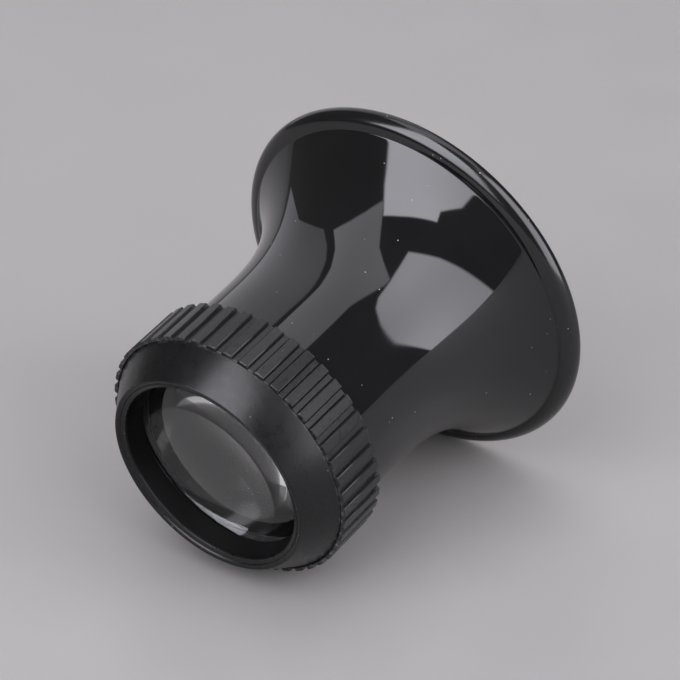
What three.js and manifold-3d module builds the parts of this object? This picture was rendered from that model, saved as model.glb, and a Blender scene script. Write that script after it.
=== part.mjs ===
// A watchmaker's eye loupe: a flared eyecup with a threaded neck, a knurled cap that screws onto it,
// a biconvex lens that the cap carries, and the ring that keeps the lens in the cap.
// Millimetres. +Z is the optical axis, and the loupe stands on its eye rim at z = 0, lens end up.

import * as THREE from 'three';
import { mergeVertices } from 'three/addons/utils/BufferGeometryUtils.js';
import Module from 'manifold-3d';

const wasm = await Module();
wasm.setup();

// Eye rim: a flat to stand on, a round outer edge, and a roll over its top as far as the crease where the flare
// starts. The roll is part of an ellipse.
const RIM_RADIUS = 21.95;
const RIM_LEDGE = 1.75;
const RIM_LOWER_ROUND = 0.62;
const RIM_ROLL_WIDTH = 2.2;
const RIM_ROLL_HEIGHT = 1.55;

// Eyecup horn: the flare's curve eases off all the way up to a straight neck
const FLARE_HEIGHT = 19.9;
const FLARE_POWER = 3;
const NECK_RADIUS = 13.2;
const NECK_LENGTH = 5.76;
const EYECUP_WALL = 1.8;

// Threaded end of the neck
const SHOULDER = 0.3;
const SPIGOT_LENGTH = 3.56;
const SPIGOT_WALL = 1.5;
const SPIGOT_CHAMFER = 0.35;
const BORE_TAPER_LENGTH = 1.5;
const THREAD_PITCH = 1.0;
const THREAD_DEPTH = 0.6;
const THREAD_ROOT_WIDTH = 0.56;
const THREAD_CREST_WIDTH = 0.22;
const THREAD_END_MARGIN = 0.15;
const THREAD_RUNOUT_TURNS = 0.25;

// Lens
const LENS_RADIUS = 11.4;
const LENS_CURVE_RADIUS = 37;
const LENS_EDGE = 1.47;

// Retaining ring
const RING_WIDTH = 1.0;
const RING_HEIGHT = 1.2;

// Screw cap: knurled band, cone-shaped bezel up to its crown, a lip that slopes in from the crown, and the recess
// down to the lens
const CAP_WALL = 1.7;
const CAP_ENTRY_CHAMFER = 0.3;
const KNURL_LENGTH = 6.3;
const RIB_COUNT = 46;
const RIB_HEIGHT = 0.35;
const RIB_GAP_TOP = 0.95;
const RIB_GAP_FLOOR = 0.82;
const BEZEL_STEP = 0.6;
const CROWN_ROUND = 0.25;
const LIP_WIDTH = 1.0;
const LIP_DROP = 0.48;
const RECESS_DEPTH = 2.92;
const RECESS_DRAFT = 0.55;
const LENS_SEAT = 0.9;

// Clearances
const SEAT_GAP = 0.3;
const THREAD_CLEARANCE = 0.15;
const LENS_CLEARANCE = 0.15;
const RING_CLEARANCE = 0.1;
const THREAD_RELIEF = 0.15;

// Facets
const TURN_STEPS = 60;
const CAP_STEPS = 60;
const THREAD_STEPS = 36;
const FLARE_STEPS = 10;
const ROLL_STEPS = 6;
const LENS_STEPS = 7;
const ROUND_STEPS = 3;
const FADE_TURNS = 0.08;
const FADE_FLOOR = 0.05;
const JOIN_DEPTH = 0.4;
const OVERRUN_TURNS = 1;

// Radii that follow from the sizes above
const creaseRadius = RIM_RADIUS - RIM_LEDGE;
const threadCrest = NECK_RADIUS - SHOULDER;
const threadRoot = threadCrest - THREAD_DEPTH;
const spigotBore = threadRoot - SPIGOT_WALL;
const neckBore = NECK_RADIUS - EYECUP_WALL;
const capThreadCrest = threadRoot + THREAD_CLEARANCE;
const capThreadRoot = threadCrest + THREAD_CLEARANCE;
const knurlFloor = capThreadRoot + CAP_WALL;
const ribTop = knurlFloor + RIB_HEIGHT;
const bezelRadius = ribTop - BEZEL_STEP;
const knurlMiddle = (bezelRadius + knurlFloor) / 2;
const pocketRadius = LENS_RADIUS + LENS_CLEARANCE;
const ringRadius = pocketRadius - RING_CLEARANCE;
const ringBore = ringRadius - RING_WIDTH;
const apertureRadius = LENS_RADIUS - LENS_SEAT;
const lipRadius = apertureRadius + RECESS_DRAFT;
const crownRadius = lipRadius + LIP_WIDTH;

// Height of the lens face above its edge at a radius
function lensRise(radius) {
  const edge = Math.sqrt(LENS_CURVE_RADIUS ** 2 - LENS_RADIUS ** 2);
  return Math.sqrt(LENS_CURVE_RADIUS ** 2 - radius ** 2) - edge;
}

// Heights, stacked up from the rest plane
const rollEnd = Math.acos(1 - RIM_LEDGE / RIM_ROLL_WIDTH);
const creaseZ = RIM_LOWER_ROUND + RIM_ROLL_HEIGHT * Math.sin(rollEnd);
const flareTop = creaseZ + FLARE_HEIGHT;
const shoulderZ = flareTop + NECK_LENGTH;
const spigotTop = shoulderZ + SPIGOT_LENGTH;
const ringBottom = spigotTop + SEAT_GAP;
const ringTop = ringBottom + RING_HEIGHT;
const lensBottomEdge = ringTop + SEAT_GAP;
const lensTopEdge = lensBottomEdge + LENS_EDGE;
const seatEdgeZ = lensTopEdge + SEAT_GAP;
const seatZ = seatEdgeZ + lensRise(apertureRadius);
const frontZ = seatZ + RECESS_DEPTH;
const capBottom = shoulderZ + SEAT_GAP;
const capThreadTop = spigotTop + THREAD_RELIEF;
const knurlTop = capBottom + KNURL_LENGTH;

// The ridge starts and ends inside the spigot's length; its turns are counted from the shoulder
const ridgeMargin = THREAD_ROOT_WIDTH / 2 + THREAD_END_MARGIN;
const ridgeFirstTurn = ridgeMargin / THREAD_PITCH;
const ridgeLastTurn = (SPIGOT_LENGTH - SPIGOT_CHAMFER - ridgeMargin) / THREAD_PITCH;

// Points of the flare from the crease up to the neck, or of a surface that lies a wall's thickness inside it
function flare(inset) {
  const reach = creaseRadius - NECK_RADIUS;
  const points = [];
  for (let i = 0; i <= FLARE_STEPS; i += 1) {
    const left = 1 - i / FLARE_STEPS;
    const radius = NECK_RADIUS + reach * left ** FLARE_POWER;
    const slope = (FLARE_POWER * reach * left ** (FLARE_POWER - 1)) / FLARE_HEIGHT;
    const across = inset / Math.hypot(1, slope);
    points.push([radius - across, flareTop - FLARE_HEIGHT * left - slope * across]);
  }
  return points;
}

// Points of an arc in a profile, from one angle to another
function arc(centreRadius, centreZ, radius, from, to, steps) {
  const points = [];
  for (let i = 0; i <= steps; i += 1) {
    const angle = from + ((to - from) * i) / steps;
    points.push([centreRadius + radius * Math.cos(angle), centreZ + radius * Math.sin(angle)]);
  }
  return points;
}

// Points that round a corner of a profile off
function rounded(before, corner, after, radius) {
  const at = new THREE.Vector2(...corner);
  const back = new THREE.Vector2(...before).sub(at).normalize();
  const on = new THREE.Vector2(...after).sub(at).normalize();
  const reach = radius / Math.tan(Math.acos(back.dot(on)) / 2);
  const start = at.clone().addScaledVector(back, reach);
  const end = at.clone().addScaledVector(on, reach);
  return new THREE.QuadraticBezierCurve(start, at, end).getPoints(ROUND_STEPS).map((point) => point.toArray());
}

// Points of the rim's roll, from its widest circle up to the crease
function roll() {
  const points = [];
  for (let i = 0; i <= ROLL_STEPS; i += 1) {
    const angle = (rollEnd * i) / ROLL_STEPS;
    const radius = RIM_RADIUS - RIM_ROLL_WIDTH * (1 - Math.cos(angle));
    points.push([radius, RIM_LOWER_ROUND + RIM_ROLL_HEIGHT * Math.sin(angle)]);
  }
  return points;
}

// A profile of [radius, height] points turned about the Z axis: out along the bottom, then up the outside
function turned(profile, steps) {
  const points = profile.map(([radius, height]) => new THREE.Vector2(radius, height));
  return new THREE.LatheGeometry(points, steps).rotateX(Math.PI / 2);
}

function closed(profile) {
  return [...profile, profile[0]];
}

function toSolid(geometry) {
  geometry.deleteAttribute('normal');
  geometry.deleteAttribute('uv');
  const merged = mergeVertices(geometry);
  return new wasm.Manifold(new wasm.Mesh({
    numProp: 3,
    vertProperties: merged.attributes.position.array,
    triVerts: merged.index.array,
  }));
}

function toGeometry(solid) {
  const mesh = solid.getMesh();
  const geometry = new THREE.BufferGeometry();
  geometry.setAttribute('position', new THREE.BufferAttribute(mesh.vertProperties, 3));
  geometry.setIndex(new THREE.BufferAttribute(mesh.triVerts, 1));
  geometry.computeVertexNormals();
  return geometry;
}

// A right-hand helical ridge round the spigot. Its section is a trapezium from a base radius to a crest
// radius, and the crest fades into the base at both ends. Turns are counted from the shoulder.
function helix({ fromTurn, toTurn, base, crest, baseWidth, crestWidth }) {
  const count = Math.ceil((toTurn - fromTurn) * THREAD_STEPS);
  const positions = [];
  const indices = [];
  for (let i = 0; i <= count; i += 1) {
    const turn = fromTurn + ((toTurn - fromTurn) * i) / count;
    const angle = turn * 2 * Math.PI;
    const height = shoulderZ + turn * THREAD_PITCH;
    const fromEnd = Math.min(turn - fromTurn, toTurn - turn);
    const rise = Math.min(1, Math.max(FADE_FLOOR, fromEnd / FADE_TURNS));
    const top = base + (crest - base) * rise;
    const section = [
      [base, -baseWidth / 2],
      [top, -crestWidth / 2],
      [top, crestWidth / 2],
      [base, baseWidth / 2],
    ];
    for (const [radius, offset] of section) {
      positions.push(new THREE.Vector3(radius * Math.cos(angle), radius * Math.sin(angle), height + offset));
    }
  }
  const corners = positions.length / (count + 1);
  for (let i = 0; i < count; i += 1) {
    for (let j = 0; j < corners; j += 1) {
      const a = i * corners + j;
      const b = i * corners + ((j + 1) % corners);
      indices.push(a, a + corners, b, b, a + corners, b + corners);
    }
  }
  const last = count * corners;
  indices.push(0, 1, 2, 0, 2, 3, last, last + 2, last + 1, last, last + 3, last + 2);
  const geometry = new THREE.BufferGeometry();
  geometry.setFromPoints(positions);
  geometry.setIndex(indices);
  return toSolid(geometry);
}

// The thread's flank width at any radius, from its width at the root and at the crest
function threadWidth(radius) {
  const share = (radius - threadRoot) / THREAD_DEPTH;
  return THREAD_ROOT_WIDTH + (THREAD_CREST_WIDTH - THREAD_ROOT_WIDTH) * share;
}

// The flat from the inside edge, the outer edge and the roll
function rimProfile() {
  return [
    [flare(EYECUP_WALL)[0][0], 0],
    ...arc(RIM_RADIUS - RIM_LOWER_ROUND, RIM_LOWER_ROUND, RIM_LOWER_ROUND, -Math.PI / 2, 0, ROUND_STEPS),
    ...roll().slice(1),
  ];
}

function spigotProfile() {
  return [
    [NECK_RADIUS, shoulderZ],
    [threadRoot, shoulderZ],
    [threadRoot, spigotTop - SPIGOT_CHAMFER],
    [threadRoot - SPIGOT_CHAMFER, spigotTop],
    [spigotBore, spigotTop],
    [spigotBore, shoulderZ],
  ];
}

// Inside of the horn, from the spigot's bore down to the rim
function boreProfile() {
  return [[neckBore, shoulderZ - BORE_TAPER_LENGTH], ...flare(EYECUP_WALL).reverse()];
}

function eyecup() {
  const profile = [
    ...rimProfile(),
    ...flare(0).slice(1),
    ...spigotProfile(),
    ...boreProfile(),
  ];
  const horn = toSolid(turned(closed(profile), TURN_STEPS));
  const base = threadRoot - JOIN_DEPTH;
  const ridge = helix({
    fromTurn: ridgeFirstTurn,
    toTurn: ridgeLastTurn,
    base,
    crest: threadCrest,
    baseWidth: threadWidth(base),
    crestWidth: THREAD_CREST_WIDTH,
  });
  return toGeometry(horn.add(ridge));
}

// Outline of the knurl: flat-topped ribs with sloping flanks, and a hole well inside the cap's wall
function knurl() {
  const pitch = (2 * Math.PI) / RIB_COUNT;
  const topHalf = pitch / 2 - RIB_GAP_TOP / 2 / ribTop;
  const footHalf = pitch / 2 - RIB_GAP_FLOOR / 2 / knurlFloor;
  const outline = [];
  for (let i = 0; i < RIB_COUNT; i += 1) {
    const middle = i * pitch;
    for (const [radius, offset] of [
      [knurlFloor, -footHalf],
      [ribTop, -topHalf],
      [ribTop, topHalf],
      [knurlFloor, footHalf],
    ]) {
      const angle = middle + offset;
      outline.push(new THREE.Vector2(radius * Math.cos(angle), radius * Math.sin(angle)));
    }
  }
  const shape = new THREE.Shape(outline);
  const hole = new THREE.Path();
  hole.absarc(0, 0, capThreadRoot + CAP_WALL / 2, 0, 2 * Math.PI, true);
  shape.holes.push(hole);
  const band = new THREE.ExtrudeGeometry(shape, {
    depth: KNURL_LENGTH,
    bevelEnabled: false,
    curveSegments: CAP_STEPS,
  });
  return toSolid(band.translate(0, 0, capBottom));
}

function screwCap() {
  const bezelFoot = [bezelRadius, knurlTop];
  const lip = [lipRadius, frontZ - LIP_DROP];
  const profile = [
    [capThreadCrest + CAP_ENTRY_CHAMFER, capBottom],
    [knurlMiddle, capBottom],
    [knurlMiddle, knurlTop],
    bezelFoot,
    ...rounded(bezelFoot, [crownRadius, frontZ], lip, CROWN_ROUND),
    lip,
    [apertureRadius, seatZ],
    [pocketRadius, seatEdgeZ],
    [pocketRadius, capThreadTop],
    [capThreadCrest, capThreadTop],
    [capThreadCrest, capBottom + CAP_ENTRY_CHAMFER],
  ];
  const body = toSolid(turned(closed(profile), CAP_STEPS));
  const base = capThreadCrest - JOIN_DEPTH;
  const groove = helix({
    fromTurn: -OVERRUN_TURNS,
    toTurn: ridgeLastTurn + THREAD_RUNOUT_TURNS,
    base,
    crest: capThreadRoot,
    baseWidth: threadWidth(base) + 2 * THREAD_CLEARANCE,
    crestWidth: THREAD_CREST_WIDTH + 2 * THREAD_CLEARANCE,
  });
  return toGeometry(body.add(knurl()).subtract(groove));
}

// Points of one lens face from the axis to the edge; up is 1 for the front and -1 for the eye side
function lensFace(edgeZ, up) {
  const points = [];
  for (let i = 0; i <= LENS_STEPS; i += 1) {
    const radius = (LENS_RADIUS * i) / LENS_STEPS;
    points.push([radius, edgeZ + up * lensRise(radius)]);
  }
  return points;
}

function lens() {
  const profile = [...lensFace(lensBottomEdge, -1), ...lensFace(lensTopEdge, 1).reverse()];
  return turned(profile, TURN_STEPS);
}

// The ring's upper face follows the eye side of the lens
function retainingRing() {
  const profile = [
    [ringBore, ringBottom],
    [ringRadius, ringBottom],
    [ringRadius, ringTop],
    [ringBore, ringTop - lensRise(ringBore)],
  ];
  return turned(closed(profile), TURN_STEPS);
}

function piece(name, geometry, look) {
  const mesh = new THREE.Mesh(geometry, new THREE.MeshStandardMaterial(look));
  mesh.name = name;
  return mesh;
}

const GLOSS_BLACK = { color: 0x1a1a1c, roughness: 0.1, metalness: 0 };
const SATIN_BLACK = { color: 0x2c2c2e, roughness: 0.55, metalness: 0 };
const CLEAR = { color: 0xe9eeee, roughness: 0.02, metalness: 0, transparent: true, opacity: 0.35 };

const loupe = new THREE.Group();
loupe.add(
  piece('eyecup', eyecup(), GLOSS_BLACK),
  piece('screw_cap', screwCap(), SATIN_BLACK),
  piece('lens', lens(), CLEAR),
  piece('retaining_ring', retainingRing(), SATIN_BLACK),
);

export default loupe;
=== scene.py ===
import math

import bmesh
import bpy
from mathutils import Matrix, Vector


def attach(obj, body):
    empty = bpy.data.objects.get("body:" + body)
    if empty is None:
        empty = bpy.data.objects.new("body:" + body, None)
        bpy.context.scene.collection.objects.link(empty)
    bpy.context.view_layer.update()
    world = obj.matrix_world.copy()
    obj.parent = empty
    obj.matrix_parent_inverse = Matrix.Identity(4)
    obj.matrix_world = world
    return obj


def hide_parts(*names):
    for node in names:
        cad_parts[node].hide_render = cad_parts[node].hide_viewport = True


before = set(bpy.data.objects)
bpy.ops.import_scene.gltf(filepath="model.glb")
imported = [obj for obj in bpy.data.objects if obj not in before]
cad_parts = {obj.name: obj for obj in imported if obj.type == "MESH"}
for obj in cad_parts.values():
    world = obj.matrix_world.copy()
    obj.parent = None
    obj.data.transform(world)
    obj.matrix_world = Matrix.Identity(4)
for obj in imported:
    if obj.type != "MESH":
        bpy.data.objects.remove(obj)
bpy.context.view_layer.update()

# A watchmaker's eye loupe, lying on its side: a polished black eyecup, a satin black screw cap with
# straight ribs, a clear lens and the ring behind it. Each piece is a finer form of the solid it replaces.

TURN = 2 * math.pi
MM = 0.001

# Eye rim
RIM_RADIUS = 21.95 * MM
RIM_LEDGE = 1.75 * MM
RIM_LOWER_ROUND = 0.62 * MM
RIM_ROLL_WIDTH = 2.2 * MM
RIM_ROLL_HEIGHT = 1.55 * MM
RIM_INNER_ROUND = 0.25 * MM
CREASE_ROUND = 0.45 * MM

# Eyecup horn
FLARE_HEIGHT = 19.9 * MM
FLARE_POWER = 3
NECK_RADIUS = 13.2 * MM
NECK_LENGTH = 5.76 * MM
NECK_ROUND = 0.15 * MM
EYECUP_WALL = 1.8 * MM

# Threaded end of the neck
SHOULDER = 0.3 * MM
SPIGOT_LENGTH = 3.56 * MM
SPIGOT_WALL = 1.5 * MM
SPIGOT_CHAMFER = 0.35 * MM
BORE_TAPER_LENGTH = 1.5 * MM
THREAD_PITCH = 1.0 * MM
THREAD_DEPTH = 0.6 * MM
THREAD_ROOT_WIDTH = 0.56 * MM
THREAD_CREST_WIDTH = 0.22 * MM
THREAD_END_MARGIN = 0.15 * MM
THREAD_RUNOUT_TURNS = 0.25
FADE_TURNS = 0.08
OVERRUN_TURNS = 1

# Lens and retaining ring
LENS_RADIUS = 11.4 * MM
LENS_CURVE_RADIUS = 37 * MM
LENS_EDGE = 1.47 * MM
LENS_BEVEL = 0.12 * MM
RING_WIDTH = 1.0 * MM
RING_HEIGHT = 1.2 * MM
RING_ROUND = 0.08 * MM

# Screw cap
CAP_WALL = 1.7 * MM
CAP_ENTRY_CHAMFER = 0.3 * MM
KNURL_LENGTH = 6.3 * MM
RIB_COUNT = 46
RIB_HEIGHT = 0.35 * MM
RIB_GAP_TOP = 0.95 * MM
RIB_GAP_FLOOR = 0.82 * MM
RIB_EASE = 0.06 * MM
RIB_FOOT_DEPTH = 0.08 * MM
RIB_FOOT_WIDTH = 0.12 * MM
# How far along the ribs their ends are painted a lighter grey
PALE_END_WIDTH = 0.25 * MM
BEZEL_STEP = 0.6 * MM
BEZEL_LINE_WIDTH = 0.16 * MM
BEZEL_LINE_DEPTH = 0.2 * MM
CROWN_ROUND = 0.25 * MM
LIP_WIDTH = 1.0 * MM
LIP_DROP = 0.48 * MM
LIP_ROUND = 0.08 * MM
LIP_LINE_WIDTH = 0.14 * MM
LIP_LINE_DEPTH = 0.07 * MM
RECESS_EDGE = 0.2 * MM
SEAT_ROUND = 0.06 * MM
RECESS_DEPTH = 2.92 * MM
RECESS_DRAFT = 0.55 * MM
LENS_SEAT = 0.9 * MM

# Clearances
SEAT_GAP = 0.3 * MM
THREAD_CLEARANCE = 0.15 * MM
LENS_CLEARANCE = 0.15 * MM
RING_CLEARANCE = 0.1 * MM
THREAD_RELIEF = 0.15 * MM

# Fineness of the meshes
TURN_STEPS = 192
FLARE_STEPS = 64
LENS_STEPS = 32
ROUND_STEPS = 16
EASE_STEPS = 8
COLUMN_WIDTH = 0.13 * MM
MERGE = 1e-7
SHARP_ANGLE = math.radians(38)

# Radii and heights that follow from the sizes above
crease_radius = RIM_RADIUS - RIM_LEDGE
thread_crest = NECK_RADIUS - SHOULDER
thread_root = thread_crest - THREAD_DEPTH
spigot_bore = thread_root - SPIGOT_WALL
neck_bore = NECK_RADIUS - EYECUP_WALL
cap_thread_crest = thread_root + THREAD_CLEARANCE
cap_thread_root = thread_crest + THREAD_CLEARANCE
knurl_floor = cap_thread_root + CAP_WALL
rib_top = knurl_floor + RIB_HEIGHT
bezel_radius = rib_top - BEZEL_STEP
pocket_radius = LENS_RADIUS + LENS_CLEARANCE
ring_radius = pocket_radius - RING_CLEARANCE
ring_bore = ring_radius - RING_WIDTH
aperture_radius = LENS_RADIUS - LENS_SEAT
lip_radius = aperture_radius + RECESS_DRAFT
crown_radius = lip_radius + LIP_WIDTH


def lens_rise(radius):
    """Height of the lens face above its edge at a radius."""
    edge = math.sqrt(LENS_CURVE_RADIUS**2 - LENS_RADIUS**2)
    return math.sqrt(LENS_CURVE_RADIUS**2 - radius**2) - edge


roll_end = math.acos(1 - RIM_LEDGE / RIM_ROLL_WIDTH)
crease_z = RIM_LOWER_ROUND + RIM_ROLL_HEIGHT * math.sin(roll_end)
flare_top = crease_z + FLARE_HEIGHT
shoulder_z = flare_top + NECK_LENGTH
spigot_top = shoulder_z + SPIGOT_LENGTH
ring_bottom = spigot_top + SEAT_GAP
ring_top = ring_bottom + RING_HEIGHT
lens_bottom_edge = ring_top + SEAT_GAP
lens_top_edge = lens_bottom_edge + LENS_EDGE
seat_edge_z = lens_top_edge + SEAT_GAP
seat_z = seat_edge_z + lens_rise(aperture_radius)
front_z = seat_z + RECESS_DEPTH
lip_z = front_z - LIP_DROP
cap_bottom = shoulder_z + SEAT_GAP
cap_thread_top = spigot_top + THREAD_RELIEF
knurl_top = cap_bottom + KNURL_LENGTH

ridge_margin = THREAD_ROOT_WIDTH / 2 + THREAD_END_MARGIN
ridge_first_turn = ridge_margin / THREAD_PITCH
ridge_last_turn = (SPIGOT_LENGTH - SPIGOT_CHAMFER - ridge_margin) / THREAD_PITCH

rib_pitch = TURN / RIB_COUNT
rib_top_half = rib_pitch / 2 - RIB_GAP_TOP / 2 / rib_top
rib_foot_half = rib_pitch / 2 - RIB_GAP_FLOOR / 2 / knurl_floor


# Profiles. A row is a function from an angle to the (radius, height) of the surface there.
def plain_row(radius, height):
    return lambda angle: (radius, height)


def eased(corners):
    """Rows along (radius, height, rounding) corners, with each inner corner rounded."""
    points = [Vector(corner[:2]) for corner in corners]
    rows = [plain_row(*points[0])]
    for i in range(1, len(points) - 1):
        corner = points[i]
        rounding = corners[i][2]
        if not rounding:
            rows.append(plain_row(*corner))
            continue
        before = (points[i - 1] - corner).normalized()
        after = (points[i + 1] - corner).normalized()
        reach = rounding / math.tan(before.angle(after) / 2)
        start = corner + before * reach
        end = corner + after * reach
        for step in range(EASE_STEPS + 1):
            share = step / EASE_STEPS
            near = start.lerp(corner, share)
            far = corner.lerp(end, share)
            rows.append(plain_row(*near.lerp(far, share)))
    rows.append(plain_row(*points[-1]))
    return rows


def flare(inset):
    """Corners of the flare from the crease up to the neck, or of a surface that lies inside it."""
    reach = crease_radius - NECK_RADIUS
    corners = []
    for i in range(FLARE_STEPS + 1):
        left = 1 - i / FLARE_STEPS
        radius = NECK_RADIUS + reach * left**FLARE_POWER
        slope = FLARE_POWER * reach * left ** (FLARE_POWER - 1) / FLARE_HEIGHT
        across = inset / math.hypot(1, slope)
        corners.append((radius - across, flare_top - FLARE_HEIGHT * left - slope * across, 0))
    return corners


def roll():
    """Corners of the rim's roll, from its widest circle up to the crease."""
    corners = []
    for i in range(ROUND_STEPS + 1):
        angle = roll_end * i / ROUND_STEPS
        radius = RIM_RADIUS - RIM_ROLL_WIDTH * (1 - math.cos(angle))
        corners.append((radius, RIM_LOWER_ROUND + RIM_ROLL_HEIGHT * math.sin(angle), 0))
    return corners


def thread_rise(angle, height, root_width, crest_width, first_turn, last_turn):
    """How far up the thread's flank a point lies, 0 at the foot and 1 on the crest."""
    turn = (height - shoulder_z) / THREAD_PITCH
    nearest = round(turn - angle / TURN) + angle / TURN
    offset = abs(turn - nearest) * THREAD_PITCH
    slope = (root_width / 2 - offset) / ((root_width - crest_width) / 2)
    fade = min(nearest - first_turn, last_turn - nearest) / FADE_TURNS
    return max(0, min(1, slope, fade))


def thread_rows(low, high, base, root_width, crest_width, first_turn, last_turn):
    """Rows that climb with the thread, from low to high."""

    def climbing_row(turn, offset):
        def row(angle):
            height = shoulder_z + (turn + angle / TURN) * THREAD_PITCH + offset
            height = min(high, max(low, height))
            rise = thread_rise(angle, height, root_width, crest_width, first_turn, last_turn)
            return base + THREAD_DEPTH * rise, height

        return row

    lowest = math.floor((low - shoulder_z) / THREAD_PITCH) - 1
    highest = math.ceil((high - shoulder_z) / THREAD_PITCH)
    section = (-root_width / 2, -crest_width / 2, crest_width / 2, root_width / 2)
    return [climbing_row(turn, offset) for turn in range(lowest, highest + 1) for offset in section]


def rib_knots():
    """(angle from the middle of a rib, share of the rib's height) corners of half a rib, with a fine line at
    its foot."""
    ease = RIB_EASE / RIB_HEIGHT
    foot = RIB_FOOT_WIDTH / knurl_floor
    return [
        (0, 1),
        (rib_top_half - RIB_EASE / rib_top, 1),
        (rib_top_half + (rib_foot_half - rib_top_half) * ease, 1 - ease),
        (rib_foot_half, 0),
        (rib_foot_half + foot / 2, -RIB_FOOT_DEPTH / RIB_HEIGHT),
        (rib_foot_half + foot, 0),
        (rib_pitch / 2, 0),
    ]


def rib_share(angle):
    offset = abs((angle + rib_pitch / 2) % rib_pitch - rib_pitch / 2)
    knots = rib_knots()
    for (near, near_share), (far, far_share) in zip(knots, knots[1:]):
        if offset <= far:
            return near_share + (far_share - near_share) * (offset - near) / (far - near)
    return 0


def rib_row(height, inset):
    return lambda angle: (knurl_floor + RIB_HEIGHT * rib_share(angle) - inset, height)


def round_angles():
    return [TURN * i / TURN_STEPS for i in range(TURN_STEPS + 1)]


def rib_angles():
    """Angles once round from a groove, with points at every corner of every rib and evenly between."""
    knots = [offset for offset, share in rib_knots()]
    half = []
    for near, far in zip(knots, knots[1:]):
        count = math.ceil((far - near) * rib_top / COLUMN_WIDTH)
        half += [near + (far - near) * i / count for i in range(count)]
    half.append(knots[-1])
    offsets = [-offset for offset in reversed(half)] + half[1:-1]
    angles = [rib * rib_pitch + offset for rib in range(RIB_COUNT) for offset in offsets]
    return angles + [angles[0] + TURN]


def lathe(name, rows, angles, materials, second_from=None):
    """A closed mesh through the rows; rows from second_from on take the second material."""
    form = bmesh.new()
    grid = []
    for row in rows:
        ring = []
        for angle in angles:
            radius, height = row(angle)
            ring.append(form.verts.new((radius * math.cos(angle), radius * math.sin(angle), height)))
        grid.append(ring)
    for i in range(len(grid) - 1):
        for j in range(len(angles) - 1):
            face = form.faces.new((grid[i][j], grid[i][j + 1], grid[i + 1][j + 1], grid[i + 1][j]))
            face.smooth = True
            face.material_index = 0 if second_from is None or i < second_from else 1
    bmesh.ops.remove_doubles(form, verts=form.verts, dist=MERGE)
    bmesh.ops.recalc_face_normals(form, faces=form.faces)
    mesh = bpy.data.meshes.new(name)
    form.to_mesh(mesh)
    form.free()
    mesh.set_sharp_from_angle(angle=SHARP_ANGLE)
    for material in materials:
        mesh.materials.append(material)
    piece = bpy.data.objects.new(name, mesh)
    bpy.context.scene.collection.objects.link(piece)
    weighted = piece.modifiers.new("flat_faces_stay_flat", "WEIGHTED_NORMAL")
    weighted.keep_sharp = True
    return piece


def dress(piece, body, node):
    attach(piece, body)
    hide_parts(node)


# Materials. Each finish has its roughness and its colours, where a pair is its darkest and lightest shade.
GLOSS_COLOURS = ((0.004, 0.004, 0.0045), (0.009, 0.009, 0.0095))
GLOSS_ROUGHNESS = (0.02, 0.07)
GLOSS_IOR = 1.5
RIM_WEAR = 0.12
BORE_COLOURS = ((0.005, 0.005, 0.005), (0.01, 0.01, 0.01))
BORE_ROUGHNESS = (0.08, 0.16)
SATIN_COLOURS = ((0.004, 0.004, 0.0043), (0.007, 0.007, 0.0074))
SATIN_ROUGHNESS = (0.26, 0.32)
SATIN_SPECULAR = 0.3
# Ribs: a real speckle, painted paler than the rest of the cap as sheen
RIB_SPECKLE_AND_SHEEN_COLOURS = ((0.01, 0.01, 0.0105), (0.022, 0.022, 0.023))
# The lighter grey of patches at the ends of the ribs
PALE_END_COLOUR = (0.07, 0.07, 0.07)
# The recess wall's colours: darker than the cap's, as painted shade in the recess
RECESS_SHADE_COLOURS = ((0.002, 0.002, 0.002), (0.004, 0.004, 0.004))
RECESS_ROUGHNESS = (0.4, 0.5)
RECESS_SPECULAR = 0.08
GLASS_COLOUR = (0.98, 0.99, 0.985)
GLASS_ROUGHNESS = (0, 0.01)
GLASS_IOR = 1.5
RING_COLOURS = ((0.012, 0.012, 0.012), (0.024, 0.024, 0.024))
RING_ROUGHNESS = (0.45, 0.62)
RING_MARKS = 2 * MM
BENCH_COLOURS = ((0.4, 0.385, 0.37), (0.43, 0.415, 0.4))
BENCH_ROUGHNESS = (0.6, 0.75)

# Dust: how far apart its places are, the share of them that hold a speck, and its look on each finish
DUST_SPACING = 1.2 * MM
DUST_SHARE = 0.4
GLOSS_DUST = (0.45, 0.44, 0.42)
GLOSS_DUST_ROUGHNESS = 0.5
SATIN_DUST = (0.3, 0.29, 0.28)
GLASS_DUST = (0.6, 0.6, 0.6)
GLASS_DUST_ROUGHNESS = 0.3

# Ranges of a noise: most of it, and where smears, speckle and wear begin and are full
NOISE_SPAN = (0.3, 0.7)
SMEAR_SPAN = (0.42, 0.68)
GLASS_SMEAR_SPAN = (0.5, 0.75)
SPECKLE_SPAN = (0.35, 0.65)
WORN_SPAN = (0.5, 0.65)
RISING = (0, 1)
FALLING = (1, 0)


def new_material(name):
    material = bpy.data.materials.new(name)
    material.use_nodes = True
    tree = material.node_tree
    shader = tree.nodes["Principled BSDF"]
    place = tree.nodes.new("ShaderNodeTexCoord").outputs["Object"]
    return material, tree, shader, place


def noise(tree, place, size, detail):
    """Soft noise whose features are about this size, in metres."""
    node = tree.nodes.new("ShaderNodeTexNoise")
    node.inputs["Scale"].default_value = 1 / size
    node.inputs["Detail"].default_value = detail
    tree.links.new(place, node.inputs["Vector"])
    return node.outputs["Fac"]


def spread(tree, value, span, to):
    """Maps a value from one range to another, and holds it inside."""
    node = tree.nodes.new("ShaderNodeMapRange")
    tree.links.new(value, node.inputs["Value"])
    for name, number in zip(("From Min", "From Max", "To Min", "To Max"), (*span, *to)):
        node.inputs[name].default_value = number
    return node.outputs["Result"]


def combine(tree, operation, first, second):
    node = tree.nodes.new("ShaderNodeMath")
    node.operation = operation
    for value, socket in zip((first, second), node.inputs):
        if isinstance(value, (int, float)):
            socket.default_value = value
        else:
            tree.links.new(value, socket)
    return node.outputs["Value"]


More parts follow.
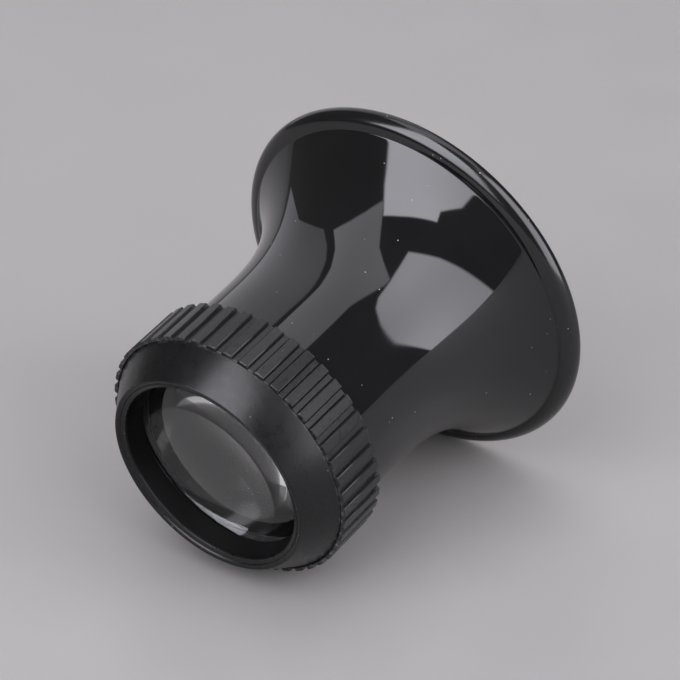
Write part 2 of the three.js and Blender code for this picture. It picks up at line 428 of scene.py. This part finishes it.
def blend_colour(tree, share, first, second):
    node = tree.nodes.new("ShaderNodeMix")
    node.data_type = "RGBA"
    tree.links.new(share, node.inputs["Factor"])
    for value, socket in zip((first, second), (node.inputs["A"], node.inputs["B"])):
        if isinstance(value, tuple):
            socket.default_value = (*value, 1)
        else:
            tree.links.new(value, socket)
    return node.outputs["Result"]


def dust(tree, place, radius):
    """1 on sparse specks of this radius and 0 elsewhere."""
    cells = tree.nodes.new("ShaderNodeTexVoronoi")
    cells.inputs["Scale"].default_value = 1 / DUST_SPACING
    tree.links.new(place, cells.inputs["Vector"])
    edge = radius / DUST_SPACING
    near = spread(tree, cells.outputs["Distance"], span=(edge / 2, edge), to=FALLING)
    pick = tree.nodes.new("ShaderNodeSeparateColor")
    tree.links.new(cells.outputs["Color"], pick.inputs["Color"])
    chosen = combine(tree, "LESS_THAN", pick.outputs["Red"], DUST_SHARE)
    return combine(tree, "MULTIPLY", near, chosen)


def height_of(tree, place):
    """How far along the loupe's axis a point lies."""
    node = tree.nodes.new("ShaderNodeSeparateXYZ")
    tree.links.new(place, node.inputs["Vector"])
    return node.outputs["Z"]


def relief(tree, height, depth, below=None):
    """Bump from a height of 0 to 1, with its depth in metres."""
    node = tree.nodes.new("ShaderNodeBump")
    node.inputs["Distance"].default_value = depth
    tree.links.new(height, node.inputs["Height"])
    if below:
        tree.links.new(below, node.inputs["Normal"])
    return node.outputs["Normal"]


def finish(tree, shader, colour, roughness, normal):
    for name, value in (("Base Color", colour), ("Roughness", roughness), ("Normal", normal)):
        tree.links.new(value, shader.inputs[name])


def polished_plastic():
    """The eyecup's outside: a polished moulding with faint waves, smears and dust, and a dulled rim."""
    material, tree, shader, place = new_material("polished_black_plastic")
    base = blend_colour(tree, noise(tree, place, size=6 * MM, detail=3), *GLOSS_COLOURS)
    specks = dust(tree, place, radius=0.08 * MM)
    colour = blend_colour(tree, specks, base, GLOSS_DUST)
    smear = spread(tree, noise(tree, place, size=9 * MM, detail=5), SMEAR_SPAN, GLOSS_ROUGHNESS)
    wear = spread(tree, height_of(tree, place), span=(crease_z - CREASE_ROUND, crease_z), to=(RIM_WEAR, 0))
    roughness = combine(tree, "ADD", smear, combine(tree, "MULTIPLY", specks, GLOSS_DUST_ROUGHNESS))
    roughness = combine(tree, "ADD", roughness, wear)
    waves = relief(tree, noise(tree, place, size=7 * MM, detail=1), depth=0.012 * MM)
    finish(tree, shader, colour, roughness, waves)
    shader.inputs["IOR"].default_value = GLOSS_IOR
    return material


def bore_plastic():
    """The eyecup's inside: the same plastic, less well polished."""
    material, tree, shader, place = new_material("moulded_black_plastic")
    colour = blend_colour(tree, noise(tree, place, size=3 * MM, detail=4), *BORE_COLOURS)
    roughness = spread(tree, noise(tree, place, size=2 * MM, detail=3), NOISE_SPAN, BORE_ROUGHNESS)
    grain = relief(tree, noise(tree, place, size=1.5 * MM, detail=2), depth=0.006 * MM)
    finish(tree, shader, colour, roughness, grain)
    return material


def pale_rib_ends(tree, place, height, on_ribs):
    """1 in noisy patches at the ends of the ribs, which are painted a lighter grey, and 0 elsewhere."""
    rear = spread(tree, height, span=(cap_bottom, cap_bottom + PALE_END_WIDTH), to=FALLING)
    front = spread(tree, height, span=(knurl_top - PALE_END_WIDTH, knurl_top), to=RISING)
    ends = combine(tree, "ADD", rear, combine(tree, "MULTIPLY", front, on_ribs))
    worn = spread(tree, noise(tree, place, size=0.7 * MM, detail=4), WORN_SPAN, RISING)
    return combine(tree, "MULTIPLY", ends, worn)


def satin_plastic():
    """The cap: a satin moulding with fine grain, mottling, a little dust, and speckled ribs painted paler as
    sheen.
    """
    material, tree, shader, place = new_material("satin_black_plastic")
    base = blend_colour(tree, noise(tree, place, size=1.4 * MM, detail=5), *SATIN_COLOURS)
    height = height_of(tree, place)
    on_ribs = combine(tree, "LESS_THAN", height, knurl_top + RIB_EASE)
    speckle = spread(tree, noise(tree, place, size=0.16 * MM, detail=2), SPECKLE_SPAN, RISING)
    # The ribs take paler speckled colours: the speckle is grain, the paler level is painted sheen
    base = blend_colour(tree, on_ribs, base, blend_colour(tree, speckle, *RIB_SPECKLE_AND_SHEEN_COLOURS))
    # The ends of the ribs turn a lighter grey in noisy patches
    base = blend_colour(tree, pale_rib_ends(tree, place, height, on_ribs), base, PALE_END_COLOUR)
    colour = blend_colour(tree, dust(tree, place, radius=0.07 * MM), base, SATIN_DUST)
    roughness = spread(tree, noise(tree, place, size=0.8 * MM, detail=4), NOISE_SPAN, SATIN_ROUGHNESS)
    grain = relief(tree, noise(tree, place, size=0.09 * MM, detail=3), depth=0.002 * MM)
    waves = relief(tree, noise(tree, place, size=2.5 * MM, detail=1), depth=0.003 * MM, below=grain)
    finish(tree, shader, colour, roughness, waves)
    shader.inputs["Specular IOR Level"].default_value = SATIN_SPECULAR
    return material


def recess_plastic():
    """The cap's inside: matt black, darker than the cap as painted shade, so that the wall round the lens
    stays dark.
    """
    material, tree, shader, place = new_material("matt_black_painted_shade_plastic")
    # Colour darker than the cap's: painted shade in the recess
    colour = blend_colour(tree, noise(tree, place, size=1.1 * MM, detail=4), *RECESS_SHADE_COLOURS)
    roughness = spread(tree, noise(tree, place, size=0.7 * MM, detail=3), NOISE_SPAN, RECESS_ROUGHNESS)
    grain = relief(tree, noise(tree, place, size=0.08 * MM, detail=2), depth=0.004 * MM)
    finish(tree, shader, colour, roughness, grain)
    shader.inputs["Specular IOR Level"].default_value = RECESS_SPECULAR
    return material


def lens_glass():
    """Clear glass with faint smears and a few specks of dust."""
    material, tree, shader, place = new_material("lens_glass")
    specks = dust(tree, place, radius=0.05 * MM)
    colour = blend_colour(tree, specks, GLASS_COLOUR, GLASS_DUST)
    smear = spread(tree, noise(tree, place, size=5 * MM, detail=4), GLASS_SMEAR_SPAN, GLASS_ROUGHNESS)
    roughness = combine(tree, "ADD", smear, combine(tree, "MULTIPLY", specks, GLASS_DUST_ROUGHNESS))
    waves = relief(tree, noise(tree, place, size=4 * MM, detail=1), depth=0.0005 * MM)
    finish(tree, shader, colour, roughness, waves)
    shader.inputs["Transmission Weight"].default_value = 1
    shader.inputs["IOR"].default_value = GLASS_IOR
    return material


def ring_plastic():
    """The retaining ring: dull plastic with fine marks from turning."""
    material, tree, shader, place = new_material("turned_black_plastic")
    colour = blend_colour(tree, noise(tree, place, size=1.2 * MM, detail=4), *RING_COLOURS)
    roughness = spread(tree, noise(tree, place, size=0.6 * MM, detail=3), NOISE_SPAN, RING_ROUGHNESS)
    rings = tree.nodes.new("ShaderNodeTexWave")
    rings.wave_type = "RINGS"
    rings.rings_direction = "Z"
    rings.inputs["Scale"].default_value = 1 / RING_MARKS
    tree.links.new(place, rings.inputs["Vector"])
    finish(tree, shader, colour, roughness, relief(tree, rings.outputs["Fac"], depth=0.006 * MM))
    return material


# Pieces
def eyecup():
    bore = flare(EYECUP_WALL)
    inner_edge = bore[0][0]
    flat_middle = ((inner_edge + RIM_RADIUS) / 2, 0, 0)
    outside = eased([
        flat_middle,
        (RIM_RADIUS, 0, RIM_LOWER_ROUND),
        *roll()[:-1],
        (crease_radius, crease_z, CREASE_ROUND),
        *flare(0)[1:],
        (NECK_RADIUS, shoulder_z, NECK_ROUND),
        (thread_root, shoulder_z, 0),
    ])
    ridge = thread_rows(
        shoulder_z, spigot_top - SPIGOT_CHAMFER, thread_root,
        THREAD_ROOT_WIDTH, THREAD_CREST_WIDTH, ridge_first_turn, ridge_last_turn,
    )
    inside = eased([
        (thread_root, spigot_top - SPIGOT_CHAMFER, 0),
        (thread_root - SPIGOT_CHAMFER, spigot_top, 0),
        (spigot_bore, spigot_top, 0),
        (spigot_bore, shoulder_z, 0),
        (neck_bore, shoulder_z - BORE_TAPER_LENGTH, 0),
        *bore[::-1],
        (inner_edge, 0, RIM_INNER_ROUND),
        flat_middle,
    ])
    rows = outside + ridge + inside
    bore_from = len(outside) + len(ridge)
    piece = lathe("eyecup_shell", rows, round_angles(), [polished_plastic(), bore_plastic()], bore_from)
    dress(piece, "eyecup", "eyecup")


def lip_line():
    """Corners of the fine line round the middle of the cap's lip."""
    corners = []
    for across, depth in ((-1, 0), (0, LIP_LINE_DEPTH), (1, 0)):
        radius = (crown_radius + lip_radius - across * LIP_LINE_WIDTH) / 2
        corners.append((radius, lip_z + LIP_DROP * (radius - lip_radius) / LIP_WIDTH - depth, 0))
    return corners


def screw_cap():
    foot = ((cap_thread_root + knurl_floor) / 2, cap_bottom, 0)
    edge_share = RECESS_EDGE / (lip_z - seat_z)
    recess_edge = (lip_radius - RECESS_DRAFT * edge_share, lip_z - RECESS_EDGE, 0)
    ribs = [
        rib_row(cap_bottom, RIB_EASE),
        rib_row(cap_bottom + RIB_EASE, 0),
        rib_row(knurl_top - RIB_EASE, 0),
        rib_row(knurl_top, RIB_EASE),
    ]
    front = eased([
        (bezel_radius + BEZEL_LINE_WIDTH, knurl_top, 0),
        (bezel_radius + BEZEL_LINE_WIDTH / 2, knurl_top - BEZEL_LINE_DEPTH, 0),
        (bezel_radius, knurl_top, 0),
        (crown_radius, front_z, CROWN_ROUND),
        *lip_line(),
        (lip_radius, lip_z, LIP_ROUND),
        recess_edge,
    ])
    recess = eased([
        recess_edge,
        (aperture_radius, seat_z, SEAT_ROUND),
        (pocket_radius, seat_edge_z, 0),
        (pocket_radius, cap_thread_top, 0),
        (cap_thread_crest, cap_thread_top, 0),
    ])
    groove = thread_rows(
        cap_bottom + CAP_ENTRY_CHAMFER, cap_thread_top, cap_thread_crest,
        THREAD_ROOT_WIDTH + 2 * THREAD_CLEARANCE, THREAD_CREST_WIDTH + 2 * THREAD_CLEARANCE,
        -OVERRUN_TURNS, ridge_last_turn + THREAD_RUNOUT_TURNS,
    )
    entry = eased([
        (cap_thread_crest, cap_bottom + CAP_ENTRY_CHAMFER, 0),
        (cap_thread_crest + CAP_ENTRY_CHAMFER, cap_bottom, 0),
        foot,
    ])
    outside = [plain_row(*foot[:2])] + ribs + front
    rows = outside + recess + groove[::-1] + entry
    piece = lathe("screw_cap_shell", rows, rib_angles(), [satin_plastic(), recess_plastic()], len(outside))
    dress(piece, "cap", "screw_cap")


def lens_corners(edge_z, side):
    corners = []
    for i in range(LENS_STEPS):
        radius = (LENS_RADIUS - LENS_BEVEL) * (i + 1) / LENS_STEPS
        corners.append((radius, edge_z + side * lens_rise(radius), 0))
    return corners


def lens():
    rear = [(0, lens_bottom_edge - lens_rise(0), 0), *lens_corners(lens_bottom_edge, -1)]
    front = [(0, lens_top_edge + lens_rise(0), 0), *lens_corners(lens_top_edge, 1)]
    edge = [(LENS_RADIUS, lens_bottom_edge, 0), (LENS_RADIUS, lens_top_edge, 0)]
    piece = lathe("lens_glass", eased(rear + edge + front[::-1]), round_angles(), [lens_glass()])
    dress(piece, "lens", "lens")


def retaining_ring():
    middle = ((ring_bore + ring_radius) / 2, ring_bottom, 0)
    corners = [
        middle,
        (ring_radius, ring_bottom, RING_ROUND),
        (ring_radius, ring_top, RING_ROUND),
        (ring_bore, ring_top - lens_rise(ring_bore), RING_ROUND),
        (ring_bore, ring_bottom, RING_ROUND),
        middle,
    ]
    piece = lathe("lens_ring", eased(corners), round_angles(), [ring_plastic()])
    dress(piece, "cap", "retaining_ring")


# The bench. The loupe lies on its rim and on the front end of its ribs, and the bench touches both.
REST_SIDE = math.radians(135)
BENCH_HALF = 700 * MM

tilt = math.atan2(RIM_RADIUS - rib_top, knurl_top - RIM_LOWER_ROUND)
rest_side = Vector((math.cos(REST_SIDE), math.sin(REST_SIDE), 0))
bench_up = -math.cos(tilt) * rest_side - math.sin(tilt) * Vector((0, 0, 1))
bench_along = -math.sin(tilt) * rest_side + math.cos(tilt) * Vector((0, 0, 1))
bench_side = bench_up.cross(bench_along)
touch = RIM_RADIUS * rest_side + Vector((0, 0, RIM_LOWER_ROUND))


def bench_direction(azimuth, elevation):
    """A direction by its degrees from the lens end round the bench, and above the bench."""
    a = math.radians(azimuth)
    e = math.radians(elevation)
    level = math.cos(a) * bench_along + math.sin(a) * bench_side
    return math.cos(e) * level + math.sin(e) * bench_up


def bench_material():
    """Pale and plain, and seen from above only, so that it hides nothing from other sides."""
    material, tree, shader, place = new_material("pale_bench")
    mottle = noise(tree, place, size=14 * MM, detail=6)
    colour = blend_colour(tree, mottle, *BENCH_COLOURS)
    roughness = spread(tree, mottle, NOISE_SPAN, BENCH_ROUGHNESS)
    grain = relief(tree, noise(tree, place, size=0.8 * MM, detail=3), depth=0.01 * MM)
    finish(tree, shader, colour, roughness, grain)
    facing = tree.nodes.new("ShaderNodeNewGeometry")
    clear = tree.nodes.new("ShaderNodeBsdfTransparent")
    either = tree.nodes.new("ShaderNodeMixShader")
    choice, from_above, from_below = either.inputs
    tree.links.new(facing.outputs["Backfacing"], choice)
    tree.links.new(shader.outputs["BSDF"], from_above)
    tree.links.new(clear.outputs["BSDF"], from_below)
    tree.links.new(either.outputs["Shader"], tree.nodes["Material Output"].inputs["Surface"])
    return material


def bench():
    mesh = bpy.data.meshes.new("bench")
    corners = []
    for along, side in ((-1, -1), (1, -1), (1, 1), (-1, 1)):
        corners.append(touch + BENCH_HALF * (along * bench_along + side * bench_side))
    mesh.from_pydata(corners, [], [(0, 1, 2, 3)])
    mesh.materials.append(bench_material())
    plane = bpy.data.objects.new("bench", mesh)
    bpy.context.scene.collection.objects.link(plane)


# Light. Lamps light the scene softly at a plain level and show in no reflection. What reflections show is
# a card for each lamp, with the outline of its soft box as the photograph's horn has it. The room is dim.
LAMP_DISTANCE = 750 * MM
LAMP_WATTS = 4
CARD_DISTANCE = 700 * MM
CARD_BORDER = 0.035
CARD_GLOW = "glow_share"
CLOTH_SIZE = 800 * MM
CLOTH_SHADES = (0.75, 1.25)
ROOM_LEVEL = 0.14
LAMP_TINT = (0.97, 0.965, 1.04)
SEEN_IN_LENS = "front"
RIGHT_ANGLE = 90
middle = Vector((0, 0, front_z / 2))

# Each soft box has its direction and half angles in degrees, its brightness as a lamp and as a card, and its
# outline: points to the right of its centre and above it, as shares of its distance.
SOFT_BOXES = {
    "front": {
        "azimuth": 0,
        "elevation": 40,
        "half_angles": (21, 21),
        "lamp_level": 2.0,
        "card_level": 6.4,
        "outline": (
            (-0.16, 0.53), (-0.36, 0.25), (-0.54, -0.07), (-0.86, -0.42), (0.38, -0.64), (0.32, -0.27),
            (0.38, -0.14), (0.3, 0.05), (0.38, 0.13), (0.17, 0.29), (0.03, 0.4),
        ),
    },
    "side": {
        "azimuth": 86,
        "elevation": 30,
        "half_angles": (30, 29),
        "lamp_level": 1.7,
        "card_level": 4.9,
        "outline": (
            (-0.29, 0.69), (-0.39, 0.23), (-0.46, -0.64), (0.58, -0.64), (0.59, -0.08), (0.51, 0.28),
            (0.44, 0.52), (0.36, 0.61), (0.16, 0.63),
        ),
    },
    "top": {
        "azimuth": 0,
        "elevation": 90,
        "half_angles": (29, 29),
        "lamp_level": 0.8,
        "card_level": 2.0,
        "outline": (
            (-0.7, 0.07), (-0.52, -0.13), (-0.4, -0.31), (-0.29, -0.56), (-0.05, -0.26), (0.08, -0.11),
            (0.24, -0.03), (0.52, 0.09), (0.51, 0.18), (0.42, 0.3), (0.31, 0.43), (0.3, 0.62),
            (-0.25, 0.62), (-0.24, 0.42), (-0.3, 0.31), (-0.44, 0.19),
        ),
    },
    "rear": {
        "azimuth": -121,
        "elevation": 39,
        "half_angles": (24, 18),
        "lamp_level": 0.5,
        "card_level": 0.9,
        "outline": (
            (0.52, -0.8), (0.39, -0.57), (0.29, -0.36), (0.28, -0.1), (0.26, 0.17), (0.11, 0.32),
            (-0.03, 0.41), (-0.18, 0.45), (-0.6, 0.46), (-0.6, -0.8),
        ),
    },
}


def axes_matrix(right, up, back, place):
    matrix = Matrix((right, up, back)).transposed().to_4x4()
    matrix.translation = place
    return matrix


def lamp(name, away, up, half_angles, level):
    """A rectangular lamp, which needs this many watts for each square metre and each unit of brightness."""
    data = bpy.data.lights.new(name, "AREA")
    data.shape = "RECTANGLE"
    data.size, data.size_y = (2 * LAMP_DISTANCE * math.tan(math.radians(half)) for half in half_angles)
    data.energy = LAMP_WATTS * data.size * data.size_y * level
    data.color = LAMP_TINT
    item = bpy.data.objects.new(name, data)
    item.matrix_world = axes_matrix(up.cross(away), up, away, middle + LAMP_DISTANCE * away)
    item.visible_camera = False
    item.visible_glossy = False
    item.visible_transmission = False
    bpy.context.scene.collection.objects.link(item)


def card_material(name, level):
    """The cloth of a soft box, a little uneven, which fades to the room's level at its border."""
    material, tree, shader, place = new_material(name)
    tree.nodes.remove(shader)
    glow = tree.nodes.new("ShaderNodeEmission")
    glow.inputs["Color"].default_value = (*LAMP_TINT, 1)
    shades = [shade * level for shade in CLOTH_SHADES]
    cloth = spread(tree, noise(tree, place, size=CLOTH_SIZE, detail=0), NOISE_SPAN, shades)
    border = tree.nodes.new("ShaderNodeAttribute")
    border.attribute_name = CARD_GLOW
    strength = combine(tree, "MULTIPLY", cloth, border.outputs["Fac"])
    strength = combine(tree, "MAXIMUM", strength, ROOM_LEVEL)
    tree.links.new(strength, glow.inputs["Strength"])
    tree.links.new(glow.outputs["Emission"], tree.nodes["Material Output"].inputs["Surface"])
    return material


def card_mesh(name, corners):
    """A flat face inside a border. Its glow is 1 on the face and falls to 0 across the border."""
    count = len(corners)
    centre = sum(corners, Vector()) / count
    inner = [corner.lerp(centre, CARD_BORDER) for corner in corners]
    outer = [corner.lerp(centre, -CARD_BORDER) for corner in corners]
    faces = [tuple(range(count))]
    for i in range(count):
        after = (i + 1) % count
        faces.append((i, count + i, count + after, after))
    mesh = bpy.data.meshes.new(name)
    mesh.from_pydata(inner + outer, [], faces)
    glow = mesh.attributes.new(CARD_GLOW, "FLOAT", "POINT")
    for i in range(count):
        glow.data[i].value = 1
    return mesh


def card(name, away, up, level, outline, in_lens):
    """The face of a soft box for reflections, also from inside the lens if so told. It lights no dull surface
    and casts no shadow."""
    right = up.cross(away)
    mesh = card_mesh(name, [middle + CARD_DISTANCE * (away + x * right + y * up) for x, y in outline])
    mesh.materials.append(card_material(name, level))
    item = bpy.data.objects.new(name, mesh)
    item.visible_camera = False
    item.visible_diffuse = False
    item.visible_transmission = in_lens
    item.visible_shadow = False
    bpy.context.scene.collection.objects.link(item)


def light():
    for name, box in SOFT_BOXES.items():
        away = bench_direction(box["azimuth"], box["elevation"])
        up = bench_direction(box["azimuth"], box["elevation"] + RIGHT_ANGLE)
        lamp(f"{name}_lamp", away, up, box["half_angles"], box["lamp_level"])
        card(f"{name}_card", away, up, box["card_level"], box["outline"], name == SEEN_IN_LENS)
    world = bpy.data.worlds.new("room")
    world.use_nodes = True
    room = world.node_tree.nodes["Background"]
    room.inputs["Color"].default_value = (ROOM_LEVEL, ROOM_LEVEL, ROOM_LEVEL, 1)
    bpy.context.scene.world = world


# Camera, placed from the photograph: its aim, distance and angles in the bench's own directions
IMAGE_WIDTH = 680
FOCAL_PIXELS = 3200
SENSOR_WIDTH = 36
AIM = Vector((0.58, 0.05, 13.56)) * MM
VIEW_AZIMUTH = 36.57
VIEW_ELEVATION = 29.74
VIEW_DISTANCE = 346.71 * MM
CLIP_SHARE = 0.01


def camera():
    data = bpy.data.cameras.new("photo_camera")
    data.sensor_width = SENSOR_WIDTH
    data.lens = SENSOR_WIDTH * FOCAL_PIXELS / IMAGE_WIDTH
    data.clip_start = CLIP_SHARE * VIEW_DISTANCE
    item = bpy.data.objects.new("photo_camera", data)
    back = bench_direction(VIEW_AZIMUTH, VIEW_ELEVATION)
    right = bench_up.cross(back).normalized()
    item.matrix_world = axes_matrix(right, back.cross(right), back, AIM + VIEW_DISTANCE * back)
    bpy.context.scene.collection.objects.link(item)
    bpy.context.scene.camera = item


camera()
eyecup()
screw_cap()
lens()
retaining_ring()
bench()
light()
bpy.context.scene.view_settings.view_transform = "Standard"
